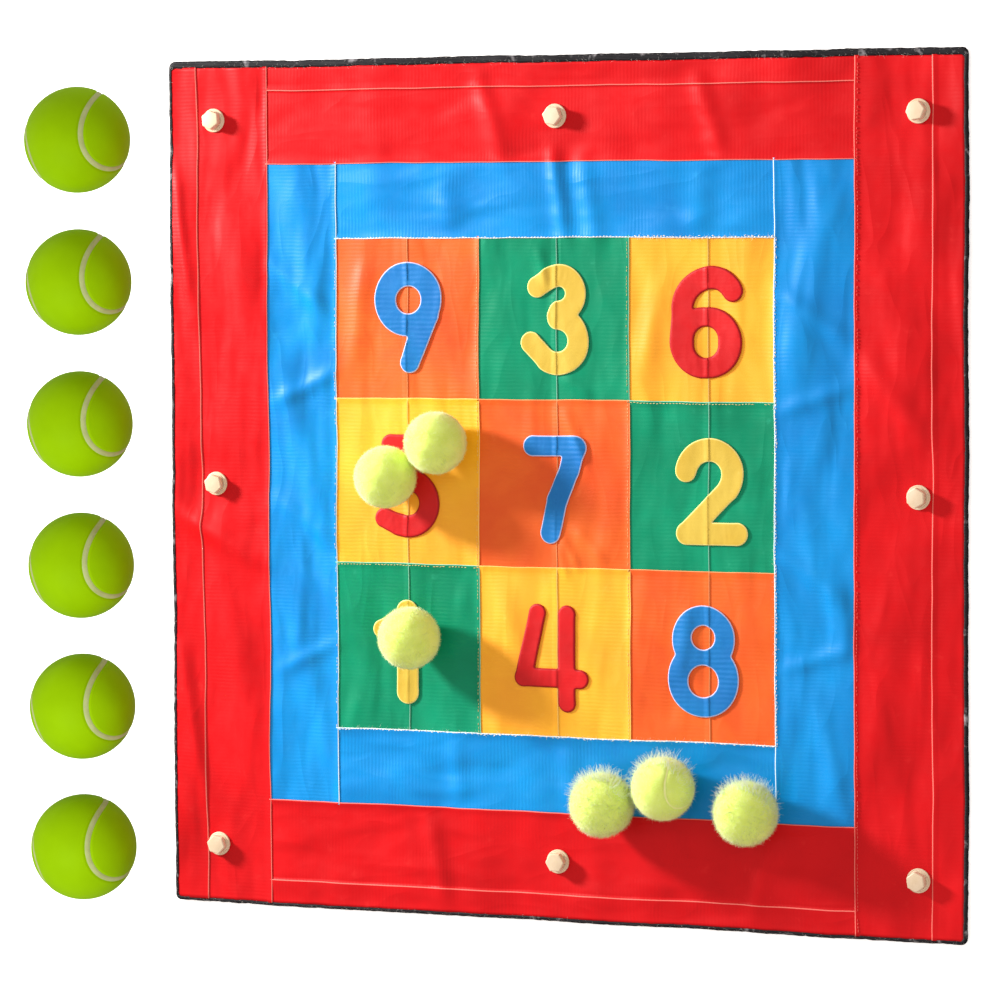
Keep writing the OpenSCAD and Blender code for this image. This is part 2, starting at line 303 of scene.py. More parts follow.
def makeScrimGroup():
    # ribs of the mesh inside the tarpaulin, film grain, and the soft creases of a folded sheet
    group, start, end = newGroup(
        "tarpScrim",
        [("Vector", "NodeSocketVector", None), ("Rib Scale", "NodeSocketFloat", 78.5),
         ("Rib Depth", "NodeSocketFloat", 1.0)],
        [("Height", "NodeSocketFloat"), ("Crease", "NodeSocketFloat"), ("Mottle", "NodeSocketFloat"),
         ("Rub", "NodeSocketFloat")])
    place = start.outputs["Vector"]
    ribs = group.nodes.new("ShaderNodeTexWave")
    ribs.bands_direction = "Y"
    ribs.inputs["Distortion"].default_value = 2.4
    ribs.inputs["Detail"].default_value = 3.0
    ribs.inputs["Detail Scale"].default_value = 0.6
    group.links.new(place, ribs.inputs["Vector"])
    group.links.new(start.outputs["Rib Scale"], ribs.inputs["Scale"])
    patches = addRange(group, addNoise(group, place, 19, 3, 0.6), 0.36, 0.62, 0.1, 1.0)
    tall = addMath(group, "MULTIPLY", ribs.outputs["Fac"], start.outputs["Rib Depth"])
    tall = addMath(group, "MULTIPLY", tall, patches)
    film = addMath(group, "MULTIPLY", addNoise(group, place, 420, 2), 0.30)
    group.links.new(addMath(group, "ADD", tall, film), end.inputs["Height"])
    # broad creases, with a few sharper ones between
    stretch = group.nodes.new("ShaderNodeMapping")
    stretch.inputs["Rotation"].default_value[2] = math.radians(14)
    stretch.inputs["Scale"].default_value = (1.7, 0.6, 1.0)
    group.links.new(place, stretch.inputs["Vector"])
    wide = addNoise(group, stretch.outputs["Vector"], 15, 1, 0.35, 0.3)
    sharp = addNoise(group, stretch.outputs["Vector"], 20, 1, 0.4, 0.5)
    ridge = addMath(group, "ABSOLUTE", addMath(group, "SUBTRACT", sharp, 0.5))
    folded = addMath(group, "SUBTRACT", wide, addMath(group, "MULTIPLY", ridge, 0.25))
    group.links.new(folded, end.inputs["Crease"])
    group.links.new(addNoise(group, place, 9, 4, 0.55, 0.4), end.inputs["Mottle"])
    group.links.new(addNoise(group, place, 60, 3, 0.6), end.inputs["Rub"])
    return group


def makeWearGroup():
    # a little dirt and colour change for moulded parts, felt and rubber
    group, start, end = newGroup(
        "softWear",
        [("Vector", "NodeSocketVector", None), ("Patch Scale", "NodeSocketFloat", 40.0),
         ("Grain Scale", "NodeSocketFloat", 900.0)],
        [("Patch", "NodeSocketFloat"), ("Grain", "NodeSocketFloat")])
    group.links.new(addNoise(group, start.outputs["Vector"], start.outputs["Patch Scale"], 3, 0.6),
                    end.inputs["Patch"])
    group.links.new(addNoise(group, start.outputs["Vector"], start.outputs["Grain Scale"], 3, 0.6),
                    end.inputs["Grain"])
    return group


scrimGroup = makeScrimGroup()
wearGroup = makeWearGroup()


def newMaterial(name):
    material = bpy.data.materials.new(name)
    material.use_nodes = True
    tree = material.node_tree
    shader = tree.nodes["Principled BSDF"]
    place = tree.nodes.new("ShaderNodeTexCoord").outputs["Object"]
    return material, tree, shader, place


def useGroup(tree, group, place, **values):
    node = tree.nodes.new("ShaderNodeGroup")
    node.node_tree = group
    tree.links.new(place, node.inputs["Vector"])
    for socket, value in values.items():
        node.inputs[socket.replace("_", " ")].default_value = value
    return node.outputs


def addBump(tree, shader, height, strength, distance, under=None):
    bump = tree.nodes.new("ShaderNodeBump")
    bump.inputs["Strength"].default_value = strength
    bump.inputs["Distance"].default_value = distance
    tree.links.new(height, bump.inputs["Height"])
    if under is not None:
        tree.links.new(under, bump.inputs["Normal"])
    tree.links.new(bump.outputs["Normal"], shader.inputs["Normal"])
    return bump.outputs["Normal"]


def rimOf(tree):
    # 1 on cut edges, painted on the points of each sheet
    rim = tree.nodes.new("ShaderNodeAttribute")
    rim.attribute_name = "rim"
    return rim.outputs["Fac"]


def tarpaulin(name, look):
    # coated cloth: satin film over a ribbed scrim, its cut edges in their own colour: pale on the
    # tarpaulins and the blue and yellow digits, darker on the red digits, where that darker band is
    # painted shade along the rounded edge
    material, tree, shader, place = newMaterial(name)
    if look.get("ribsUp"):
        turn = tree.nodes.new("ShaderNodeMapping")
        turn.inputs["Rotation"].default_value[2] = math.radians(90)
        tree.links.new(place, turn.inputs["Vector"])
        place = turn.outputs["Vector"]
    scrim = useGroup(tree, scrimGroup, place, Rib_Scale=look.get("ribScale", 78.5),
                     Rib_Depth=look.get("ribDepth", 1.0))
    tone = addRange(tree, scrim["Mottle"], 0.32, 0.68, 0.0, 1.0)
    colour = addMix(tree, tone, paint(look["deep"]), paint(look["base"]))
    rubbed = addRange(tree, scrim["Rub"], 0.66, 0.80, 0.0, 0.35)
    colour = addMix(tree, rubbed, colour, paint(look["worn"]))
    rim = rimOf(tree)
    colour = addMix(tree, rim, colour, paint(look["cut"]))
    tree.links.new(colour, shader.inputs["Base Color"])
    rough = addRange(tree, scrim["Rub"], 0.3, 0.7, look["rough"] - 0.05, look["rough"] + 0.07)
    rough = addMath(tree, "ADD", rough, addMath(tree, "MULTIPLY", rim, 0.2), clamp=True)
    tree.links.new(rough, shader.inputs["Roughness"])
    shader.inputs["Specular IOR Level"].default_value = look.get("gloss", 0.36)
    soft = addBump(tree, shader, scrim["Crease"], look.get("crease", 1.0), 0.0042)
    addBump(tree, shader, scrim["Height"], look.get("bump", 0.6), 0.00016, soft)
    return material


tarpLooks = {
    "red": {"base": "#D60A14", "deep": "#C2050F", "worn": "#E02A28", "cut": "#EC7A70", "rough": 0.46,
            "ribDepth": 0.6, "gloss": 0.17, "crease": 1.5},
    "blue": {"base": "#008FDC", "deep": "#007ECC", "worn": "#1CA0E6", "cut": "#DCEEF8", "rough": 0.42,
             "gloss": 0.26, "crease": 1.7},
    "orange": {"base": "#F06A16", "deep": "#E24C04", "worn": "#F67A36", "cut": "#F8A068", "rough": 0.52,
               "gloss": 0.42, "crease": 1.2},
    "green": {"base": "#02976F", "deep": "#01805C", "worn": "#2CAC88", "cut": "#8CD4BC", "rough": 0.44,
              "gloss": 0.2, "crease": 1.4},
    "yellow": {"base": "#FFB90E", "deep": "#F7A504", "worn": "#FFC846", "cut": "#FBD074", "rough": 0.54,
               "gloss": 0.6, "crease": 1.2},
}
tarpLooks["redCross"] = {**tarpLooks["red"], "ribsUp": True}
tarpLooks["blueCross"] = {**tarpLooks["blue"], "ribsUp": True}
tarps = {name: tarpaulin("tarpaulin " + name, look) for name, look in tarpLooks.items()}
digitLooks = {
    "blue": {"base": "#0480CC", "deep": "#026AB8", "worn": "#1A8ED6", "cut": "#C6CCF0", "rough": 0.5,
             "ribScale": 60, "ribDepth": 2.4, "crease": 0.6},
    "yellow": {"base": "#D8BC4A", "deep": "#CCA832", "worn": "#E2CA68", "cut": "#EFE08A", "rough": 0.5,
               "ribDepth": 0.3, "crease": 1.0},
    # red digits: their dark cut colour is painted shade along the edge that rounds down
    "red": {"base": "#DC0E18", "deep": "#C60812", "worn": "#E83036", "cut": "#A80410", "rough": 0.46,
            "ribDepth": 0.4, "crease": 0.6},
}
digitTarps = {name: tarpaulin("digit cloth " + name, look) for name, look in digitLooks.items()}


def plainCloth(name, base, deep, worn, rough, ribScale):
    material, tree, shader, place = newMaterial(name)
    scrim = useGroup(tree, scrimGroup, place, Rib_Scale=ribScale, Rib_Depth=1.0)
    colour = addMix(tree, scrim["Mottle"], paint(deep), paint(base))
    # the third colour in patches on marked rims; on the edge tape, marked all over, these pale grey
    # patches are partly fray and partly painted highlight, the sheen of the black webbing
    frayAndHighlight = addRange(tree, scrim["Rub"], 0.60, 0.74, 0.0, 0.6)
    frayAndHighlight = addMath(tree, "MULTIPLY", frayAndHighlight, rimOf(tree))
    colour = addMix(tree, frayAndHighlight, colour, paint(worn))
    tree.links.new(colour, shader.inputs["Base Color"])
    shader.inputs["Roughness"].default_value = rough
    shader.inputs["Specular IOR Level"].default_value = 0.25
    addBump(tree, shader, scrim["Height"], 0.8, 0.0004)
    return material


backingCloth = plainCloth("backing cloth", "#2A2A2E", "#1B1B1F", "#55555C", 0.75, 160)
# edge tape: its pale grey third colour is partly fray and partly painted highlight
tapeCloth = plainCloth("edge tape webbing", "#26242A", "#131216", "#B9B6BC", 0.62, 210)


def moulded(name, base, deep, rough, patch=60.0, grain=1500.0, bump=0.15, gloss=0.4):
    material, tree, shader, place = newMaterial(name)
    wear = useGroup(tree, wearGroup, place, Patch_Scale=patch, Grain_Scale=grain)
    tone = addRange(tree, wear["Patch"], 0.3, 0.7, 0.0, 1.0)
    tree.links.new(addMix(tree, tone, paint(deep), paint(base)), shader.inputs["Base Color"])
    dull = addRange(tree, wear["Grain"], 0.3, 0.7, rough - 0.06, rough + 0.08)
    tree.links.new(dull, shader.inputs["Roughness"])
    shader.inputs["Specular IOR Level"].default_value = gloss
    addBump(tree, shader, wear["Grain"], bump, 0.0002)
    return material


threadLook = {"patch": 300, "grain": 4000, "bump": 0.6, "gloss": 0.2}
fuzzLook = {"patch": 200, "grain": 3000, "bump": 0.2, "gloss": 0.1}
nylon = moulded("ivory nylon", "#E6D3B8", "#DAC4A4", 0.42, gloss=0.45)
thread = moulded("sewing thread", "#F4F2EC", "#DAD6CC", 0.75, **threadLook)
redThread = moulded("red thread", "#F27468", "#DC4C44", 0.75, **threadLook)
creamThread = moulded("cream thread", "#F2D89C", "#DEBC78", 0.75, **threadLook)
ballFelt = moulded("ball felt", "#E2F684", "#D4EA6C", 0.95, grain=700, bump=1.0, gloss=0.1)
ballFuzz = moulded("felt fibres", "#EAFAA0", "#DEF288", 0.9, **fuzzLook)
paleFuzz = moulded("loose fibres", "#F2FDE2", "#DCF4D4", 0.9, **fuzzLook)
feltSeam = moulded("ball seam rubber", "#F4FAB4", "#E8F09A", 0.7, patch=200, bump=0.4, gloss=0.2)
playRubber = moulded("smooth ball rubber", "#86B400", "#7EAA00", 0.6, patch=14, grain=1200,
                     bump=0.12, gloss=0.03)
playSeam = moulded("smooth ball seam", "#A8B47C", "#98A46A", 0.55, grain=1200, bump=0.2, gloss=0.2)
for cloth in (ballFelt, ballFuzz, paleFuzz):
    shader = cloth.node_tree.nodes["Principled BSDF"]
    shader.inputs["Subsurface Weight"].default_value = 0.45
    shader.inputs["Subsurface Radius"].default_value = (1.0, 1.0, 0.5)
    shader.inputs["Subsurface Scale"].default_value = 0.012
    shader.inputs["Sheen Weight"].default_value = 0.5
print("materials made")


# Sheets of the mat
sheetShape = {
    "spacing": 3.6 * mm,
    "lift": 0.95 * mm,  # how far a lap climbs over its neighbour
    "climb": 6 * mm,  # over this width
    "tuck": 2.5 * mm,  # how far the lower sheet goes under
    "round": 0.25 * mm,
}


def cutAt(bm, axis, at):
    # a line of new edges over the whole sheet, at this x or y
    way = Vector((1, 0, 0) if axis == "x" else (0, 1, 0))
    geometry = bm.verts[:] + bm.edges[:] + bm.faces[:]
    bmesh.ops.bisect_plane(bm, geom=geometry, dist=1e-6, plane_co=way * at, plane_no=way)


def cutHole(bm, spot, radius, sides=16):
    # a round hole, cut with straight snips
    centre = Vector((spot.x, spot.y, 0))
    angles = [fullTurn * i / sides for i in range(sides)]
    ways = [Vector((math.cos(angle), math.sin(angle), 0)) for angle in angles]
    for out in ways:
        near = [f for f in bm.faces if (f.calc_center_median().xy - spot.xy).length < radius + 6 * mm]
        geometry = set(near)
        for face in near:
            geometry.update(face.verts)
            geometry.update(face.edges)
        bmesh.ops.bisect_plane(bm, geom=list(geometry), dist=1e-6, plane_no=out,
                               plane_co=centre + out * radius)
    inner = [f for f in bm.faces
             if max((f.calc_center_median() - centre).dot(way) for way in ways) < radius]
    bmesh.ops.delete(bm, geom=inner, context="FACES")


def gridBetween(x0, x1, y0, y1, spacing):
    bm = bmesh.new()
    across = max(2, round((x1 - x0) / spacing))
    along = max(2, round((y1 - y0) / spacing))
    bmesh.ops.create_grid(bm, x_segments=across, y_segments=along, size=0.5)
    bmesh.ops.scale(bm, verts=bm.verts[:], vec=(x1 - x0, y1 - y0, 1))
    bmesh.ops.translate(bm, verts=bm.verts[:], vec=((x0 + x1) / 2, (y0 + y1) / 2, 0))
    return bm


def thicken(piece, depth):
    walls = piece.modifiers.new("thickness", "SOLIDIFY")
    walls.thickness = depth
    walls.offset = -1
    walls.use_even_offset = False


def layCover(name, node, material, over=(), under=(), steps=(), cut=0.85 * mm):
    # cut is the width of the pale cut edge
    low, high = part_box(node)
    s = sheetShape
    x0, x1, y0, y1 = low.x, high.x, low.y, high.y
    lap = {"left": x0, "right": x1, "bottom": y0, "top": y1}
    x0 -= s["tuck"] if "left" in under else 0
    x1 += s["tuck"] if "right" in under else 0
    y0 -= s["tuck"] if "bottom" in under else 0
    y1 += s["tuck"] if "top" in under else 0
    bm = gridBetween(x0, x1, y0, y1, s["spacing"])
    for side in over:
        inward = -1 if side in ("right", "top") else 1
        for depth in (s["round"], cut, cut + 0.2 * mm, 3 * mm):
            cutAt(bm, "x" if side in ("left", "right") else "y", lap[side] + inward * depth)
    for axis, at, width, facing, height, slant in steps:
        for depth in (-0.15 * mm, 0.0, cut, cut + 0.2 * mm, width):
            cutAt(bm, axis, at - facing * depth)
    for spot in screwSpots.values():
        if x0 < spot.x < x1 and y0 < spot.y < y1:
            cutHole(bm, spot, 5.8 * mm)
    rim = bm.verts.layers.float.new("rim")
    for vertex in bm.verts:
        x, y = vertex.co.x, vertex.co.y
        tall, pale = 0.0, 0.0
        for side in over:
            inside = {"left": x - lap["left"], "right": lap["right"] - x,
                      "bottom": y - lap["bottom"], "top": lap["top"] - y}[side]
            tall = max(tall, s["lift"] * (1 - ease(1.5 * mm, s["climb"], inside)))
            if inside < s["round"] * 0.5:
                tall -= 0.18 * mm
            if inside < cut + 0.05 * mm:
                pale = 1.0
        lean = 0.0
        for axis, at, width, facing, height, slant in steps:
            inside = (at - (x if axis == "x" else y)) * facing
            lean += slant * y / high.y * (1 - ease(8 * mm, 32 * mm, abs(inside)))
            if -0.05 * mm <= inside < width:
                tall = max(tall, height * (1 - ease(1.5 * mm, width, inside)))
                if inside < cut + 0.05 * mm:
                    pale = 1.0
        vertex[rim] = pale
        dx, dy = sway(x, y)
        vertex.co = (x + dx + lean, y + dy, coverTop + drape(x, y) + tall)
    piece = finishPiece(bm, name, material)
    thicken(piece, coverThick)
    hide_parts(node)
    return piece


seamHeight = 0.8 * mm
seamWidth = 7 * mm
hemWidth = 35 * mm
crossSeam = 26 * mm

# Strips: colour of the cloth, sides that lap over a neighbour, sides tucked under one, and the steps
# of hems and seams as axis, place, width, way they face, height and slant
strips = {
    "red_left": ("red", ["right"], [],
                 [("x", redLow.x + hemWidth - 0.8 * mm, 33 * mm, 1, 0.9 * mm, -3.8 * mm)]),
    "red_right": ("red", ["left"], [], [("x", redHigh.x - hemWidth, 7 * mm, -1, 0.8 * mm, 0)]),
    "red_top": ("redCross", ["bottom"], ["left", "right"],
                [("y", redHigh.y - crossSeam, 7 * mm, -1, 0.7 * mm, 0)]),
    "red_bottom": ("redCross", ["top"], ["left", "right"],
                   [("y", redLow.y + crossSeam, 20 * mm, 1, 0.8 * mm, 0)]),
    "blue_left": ("blue", ["right"], ["left", "top", "bottom"], []),
    "blue_right": ("blue", ["left"], ["right", "top", "bottom"], []),
    "blue_top": ("blueCross", ["bottom"], ["left", "right", "top"], []),
    "blue_bottom": ("blueCross", ["top"], ["left", "right", "bottom"], []),
}
for name, (tint, over, under, steps) in strips.items():
    colour, side = name.split("_")
    node = colour + ("_border_" if colour == "red" else "_frame_") + side
    layCover(colour + "_strip_" + side, node, tarps[tint], over, under, steps)

# Squares: column, row from the top, colour, digit colour
squares = {
    "9": (0, 0, "orange", "blue"), "3": (1, 0, "green", "yellow"), "6": (2, 0, "yellow", "red"),
    "5": (0, 1, "yellow", "red"), "7": (1, 1, "orange", "blue"), "2": (2, 1, "green", "yellow"),
    "1": (0, 2, "green", "yellow"), "4": (1, 2, "yellow", "red"), "8": (2, 2, "orange", "blue"),
}
weltAt = {0: -173.25 * mm, 1: 0.0, 2: 172.25 * mm}
for number, (column, row, tint, digitTint) in squares.items():
    over, under = [], ["bottom", "left"]
    (over if row > 0 else under).append("top")
    (over if column < 2 else under).append("right")
    welt = ("x", weltAt[column] + 1.25 * mm, seamWidth, 1, seamHeight, 0)
    layCover("square_cloth_" + number, "square_" + number, tarps[tint],
             over, under, [welt], cut=0.65 * mm)
print("cover sheets laid")


def layBacking():
    bm = gridBetween(redLow.x, redHigh.x, redLow.y, redHigh.y, 6.5 * mm)
    for spot in screwSpots.values():
        cutHole(bm, spot, 12.3 * mm)
    for vertex in bm.verts:
        dx, dy = sway(vertex.co.x, vertex.co.y)
        vertex.co.z = coverTop - coverThick - 0.15 * mm + drape(vertex.co.x, vertex.co.y)
        vertex.co.x += dx
        vertex.co.y += dy
    piece = finishPiece(bm, "backing_cloth", backingCloth)
    thicken(piece, 1.8 * mm)
    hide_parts("backing_sheet")


layBacking()


# Digits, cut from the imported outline, with a rounded edge and the seam showing through
digitShape = {"thick": 2 * mm, "rimWide": 1.0 * mm, "spacing": 3.2 * mm}
# how far the edge rounds in and how far it drops there
digitEdges = {
    "blue": (0.5 * mm, 0.75 * mm), "yellow": (0.6 * mm, 0.75 * mm), "red": (1.2 * mm, 1.1 * mm),
}


def evenOutline(bm):
    # short steps along the outline, each point drawn towards the two beside it, then new faces inside
    inner = [e for e in bm.edges if not e.is_boundary]
    bmesh.ops.delete(bm, geom=inner, context="EDGES")
    bmesh.ops.delete(bm, geom=bm.faces[:], context="FACES_ONLY")
    for turn in range(7):
        long = [e for e in bm.edges if e.calc_length() > 1.6 * mm]
        if long:
            bmesh.ops.subdivide_edges(bm, edges=long, cuts=1)
    beside = {v: [e.other_vert(v) for e in v.link_edges] for v in bm.verts}
    for turn in range(4):
        moved = {v: v.co * 0.5 + (pair[0].co + pair[1].co) * 0.25
                 for v, pair in beside.items() if len(pair) == 2}
        for vertex, place in moved.items():
            vertex.co = place
    bmesh.ops.triangle_fill(bm, edges=bm.edges[:], use_beauty=True, normal=(0, 0, 1))


def layDigit(number, column, tint):
    node = "digit_" + number
    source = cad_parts[node].data
    bm = bmesh.new()
    bm.from_mesh(source)
    rim = bm.verts.layers.float.new("rim")
    edge = bm.verts.layers.float.new("edge")
    bmesh.ops.remove_doubles(bm, verts=bm.verts[:], dist=1e-6)
    bm.normal_update()
    top = max(v.co.z for v in bm.verts)
    lost = [f for f in bm.faces if f.normal.z < 0.9 or f.calc_center_median().z < top - 0.1 * mm]
    bmesh.ops.delete(bm, geom=lost, context="FACES")
    low = Vector((min(v.co.x for v in bm.verts), min(v.co.y for v in bm.verts)))
    high = Vector((max(v.co.x for v in bm.verts), max(v.co.y for v in bm.verts)))
    flatArea = sum(f.calc_area() for f in bm.faces)
    roundIn, edgeDrop = digitEdges[tint]
    bmesh.ops.remove_doubles(bm, verts=[v for v in bm.verts if v.is_boundary], dist=0.45 * mm)
    evenOutline(bm)
    # the rim marks the edge band that takes the cut colour; on the red digits that colour is darker,
    # painted shade where the edge rounds down
    for vertex in [v for v in bm.verts if v.is_boundary]:
        vertex[edge] = 1.0
        vertex[rim] = 1.0
    first = bmesh.ops.inset_region(bm, faces=bm.faces[:], thickness=roundIn, use_boundary=True)
    ring = set(first["faces"])
    rest = [f for f in bm.faces if f not in ring]
    for vertex in {v for f in rest for v in f.verts}:
        vertex[edge] = 0.0
    for vertex in {v for f in rest for v in f.verts if any(e in ring for e in v.link_faces)}:
        vertex[edge] = 0.25
        vertex[rim] = 1.0
    second = bmesh.ops.inset_region(bm, faces=rest, thickness=digitShape["rimWide"], use_boundary=True)
    ring2 = set(second["faces"])
    inner = [f for f in rest if f.is_valid and f not in ring2]
    for vertex in {v for f in inner for v in f.verts}:
        vertex[edge] = 0.0
        vertex[rim] = 0.0
    step = digitShape["spacing"]
    for axis, first, last in (("x", low.x, high.x), ("y", low.y, high.y)):
        for i in range(math.ceil((last - first) / step - 0.5)):
            cutAt(bm, axis, first + step * (i + 0.5))
    welt = weltAt[column] + 1.25 * mm
    for side in (-0.2 * mm, 1.0 * mm):
        cutAt(bm, "x", welt - side)
    for vertex in bm.verts:
        x, y = vertex.co.x, vertex.co.y
        inside = welt - x
        bulge = 0.75 * mm * (1 - ease(1.2 * mm, seamWidth, inside)) if inside > -0.05 * mm else 0
        bulge += 0.25 * mm * (1 - ease(0, 3 * mm, -inside)) if inside <= -0.05 * mm else 0
        puff = 0.25 * mm * ripple(x * 70, y * 70, 3.1) + 0.10 * mm * ripple(x * 260, y * 120, 9.1)
        drop = edgeDrop * vertex[edge]
        dx, dy = sway(x, y)
        vertex.co = (x + dx, y + dy, coverTop + digitShape["thick"] + drape(x, y) + bulge + puff - drop)
    faceUp(bm)
    piece = finishPiece(bm, "digit_cloth_" + number, digitTarps[tint])
    thicken(piece, 1.4 * mm)
    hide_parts(node)


for number, (column, row, tint, digitTint) in squares.items():
    layDigit(number, column, digitTint)
print("digits laid")


# Black tape round the edge
tapeShape = {"corner": 7 * mm, "over": 0.7 * mm, "top": 0.35 * mm, "rough": 0.5 * mm, "thick": 2.4 * mm}


def layTape():
    bm = bmesh.new()
    bmesh.ops.create_grid(bm, x_segments=1, y_segments=1, size=0.5)
    size = matHigh - matLow
    bmesh.ops.scale(bm, verts=bm.verts[:], vec=(size.x, size.y, 1))
    bmesh.ops.bevel(bm, geom=bm.verts[:], offset=tapeShape["corner"], segments=5, profile=0.5,
                    affect="VERTICES", material=-1)
    bmesh.ops.inset_region(bm, faces=bm.faces[:], thickness=3 * mm, use_boundary=True)
    inside = bm.verts.layers.float.new("inside")
    rim = bm.verts.layers.float.new("rim")
    middle = max(bm.faces, key=lambda f: f.calc_area())
    over = tapeShape["over"] - 3 * mm
    for vertex in middle.verts:  # every side shows its own width
        vertex[inside] = 1.0
        vertex.co.x += redLow.x - matLow.x + over if vertex.co.x < 0 else redHigh.x - matHigh.x - over
        vertex.co.y += redLow.y - matLow.y + over if vertex.co.y < 0 else redHigh.y - matHigh.y - over
    bmesh.ops.delete(bm, geom=[middle], context="FACES_ONLY")
    long = [e for e in bm.edges if e.calc_length() > 0.3]
    bmesh.ops.subdivide_edges(bm, edges=long, cuts=230, use_grid_fill=True)
    across = [e for e in bm.edges if abs(e.verts[0][inside] - e.verts[1][inside]) > 0.5]
    bmesh.ops.subdivide_edges(bm, edges=across, cuts=2, use_grid_fill=True)
    rough = tapeShape["rough"]
    for vertex in bm.verts:
        x, y = vertex.co.x, vertex.co.y
        # every point is marked, so the pale grey patches of fray and painted highlight spread over the
        # whole tape
        vertex[rim] = 1.0
        dx, dy = sway(x, y)
        out = min((x - matLow.x, (-1, 0)), (matHigh.x - x, (1, 0)),
                  (y - matLow.y, (0, -1)), (matHigh.y - y, (0, 1)))[1]
        push = rough * ripple(x * 140, y * 140, 1.7) + 0.8 * rough * ripple(x * 520, y * 520, 2.9)
        tall = 0.3 * mm * ripple(x * 210, y * 210, 8.2)
        tall -= 0.8 * mm if vertex[inside] < 0.1 else 0.0
        vertex.co = (x + dx + out[0] * push, y + dy + out[1] * push,
                     coverTop + tapeShape["top"] + drape(x, y) + tall)
    faceUp(bm)
    area = sum(f.calc_area() for f in bm.faces)
    piece = finishPiece(bm, "edge_binding", tapeCloth)
    thicken(piece, tapeShape["thick"])
    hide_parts("edge_tape")


layTape()
print("edge tape laid")


# Screws and washers in ivory nylon
washerShape = [
    (5.8, 0.0), (12.3, 0.0), (12.75, 0.4), (12.75, 1.7), (12.4, 2.15), (11.3, 2.25), (10.9, 2.05),
    (10.6, 2.4), (10.4, 3.0), (10.0, 3.2), (8.3, 3.2), (8.0, 2.9), (5.8, 2.9),
]
headShape = {
    "flats": 18.5 * mm, "tall": 7.0 * mm, "corner": 1.1 * mm, "crown": 1.3 * mm,
    "collar": 7.5 * mm, "collarTall": 1.3 * mm,
    "shank": 4.0 * mm, "shankLow": 0.8 * mm,
}
# lean of each head about X and Y, and its turn, in degrees
headLean = {
    "top_left": (-6.0, 2.5, 8), "top_middle": (-2.0, 0.5, 22), "top_right": (-6.0, 0.5, 40),
    "middle_left": (3.0, 2.0, 12), "middle_right": (2.0, -0.5, 0), "bottom_left": (4.5, 3.0, 16),
    "bottom_middle": (2.5, 1.0, 30), "bottom_right": (5.5, -0.5, 5),
}


def makeWasher(name):
    spot = screwSpots[name]
    bm = bmesh.new()
    points = [bm.verts.new((r * mm, 0, z * mm)) for r, z in washerShape]
    for first, second in zip(points, points[1:] + points[:1]):
        bm.edges.new((first, second))
    spinRound(bm, 64)
    bmesh.ops.remove_doubles(bm, verts=bm.verts[:], dist=1e-6)
    bmesh.ops.recalc_face_normals(bm, faces=bm.faces[:])
    bmesh.ops.translate(bm, verts=bm.verts[:], vec=(spot.x, spot.y, coverTop))
    piece = finishPiece(bm, "ring_washer_" + name, nylon, "washer_" + name)
    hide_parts("washer_" + name)


def makeScrew(name):
    spot = screwSpots[name]
    s = headShape
    low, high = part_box("screw_" + name)
    headLow = high.z - s["tall"]
    bm = bmesh.new()
    bmesh.ops.create_circle(bm, cap_ends=True, segments=6, radius=s["flats"] / 2 / math.cos(math.pi / 6))
    raised = bmesh.ops.extrude_face_region(bm, geom=bm.faces[:])
    lifted = [v for v in raised["geom"] if isinstance(v, bmesh.types.BMVert)]
    bmesh.ops.translate(bm, verts=lifted, vec=(0, 0, s["tall"]))
    bmesh.ops.recalc_face_normals(bm, faces=bm.faces[:])
    upright = uprightEdges(bm, s["tall"] / 2)
    bevelEdges(bm, upright, s["corner"], 4)
    crown = [e for e in bm.edges if min(v.co.z for v in e.verts) > s["tall"] - 1e-5]
    bevelEdges(bm, crown, s["crown"], 4)
    base = [e for e in bm.edges if max(v.co.z for v in e.verts) < 1e-5]
    bevelEdges(bm, base, 0.4 * mm, 2)
    lean = degreesTurn(headLean[name])
    bmesh.ops.rotate(bm, verts=bm.verts[:], cent=(0, 0, 0), matrix=lean)
    bmesh.ops.translate(bm, verts=bm.verts[:], vec=(0, 0, headLow))
    for radius, bottom, height in (
        (s["collar"], headLow - s["collarTall"], s["collarTall"] + 1.0 * mm),
        (s["shank"], s["shankLow"], headLow - s["shankLow"]),
    ):
        middle = Matrix.Translation((0, 0, bottom + height / 2))
        made = bmesh.ops.create_cone(bm, cap_ends=True, segments=48, radius1=radius, radius2=radius,
                                     depth=height, matrix=middle)
        ends = {e for v in made["verts"] for e in v.link_edges
                if abs(e.verts[0].co.z - e.verts[1].co.z) < 1e-5}
        bevelEdges(bm, list(ends), 0.3 * mm, 2)
    bmesh.ops.translate(bm, verts=bm.verts[:], vec=(spot.x, spot.y, 0))
    piece = finishPiece(bm, "hex_screw_" + name, nylon, "screw_" + name)
    piece.data.set_sharp_from_angle(angle=math.radians(38))
    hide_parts("screw_" + name)


for name in screwNames:
    makeWasher(name)
    makeScrew(name)
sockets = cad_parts["screw_sockets"]
sockets.data.materials.clear()
sockets.data.materials.append(nylon)
print("screws and washers made")


# Balls
seamShape = {"wide": 0.8, "narrow": 0.2}  # the two terms of the seam's curve


def seamPoint(t):
    a, b = seamShape["wide"], seamShape["narrow"]
    tall = 2 * math.sqrt(a * b) * math.sin(2 * t)
    return Vector((a * math.cos(t) + b * math.cos(3 * t), a * math.sin(t) - b * math.sin(3 * t), tall))


seamLine = [seamPoint(fullTurn * i / 360).normalized() for i in range(360)]
seamTree = kdtree.KDTree(len(seamLine))
for i, point in enumerate(seamLine):
    seamTree.insert(point, i)
seamTree.balance()


def seamDistance(direction):
    return seamTree.find(direction)[2]


# the seam's section: shares of half its width and of its height
seamBand = [(-1, -0.9), (-0.75, 0.0), (-0.3, 0.7), (0.3, 0.7), (0.75, 0.0), (1, -0.9)]


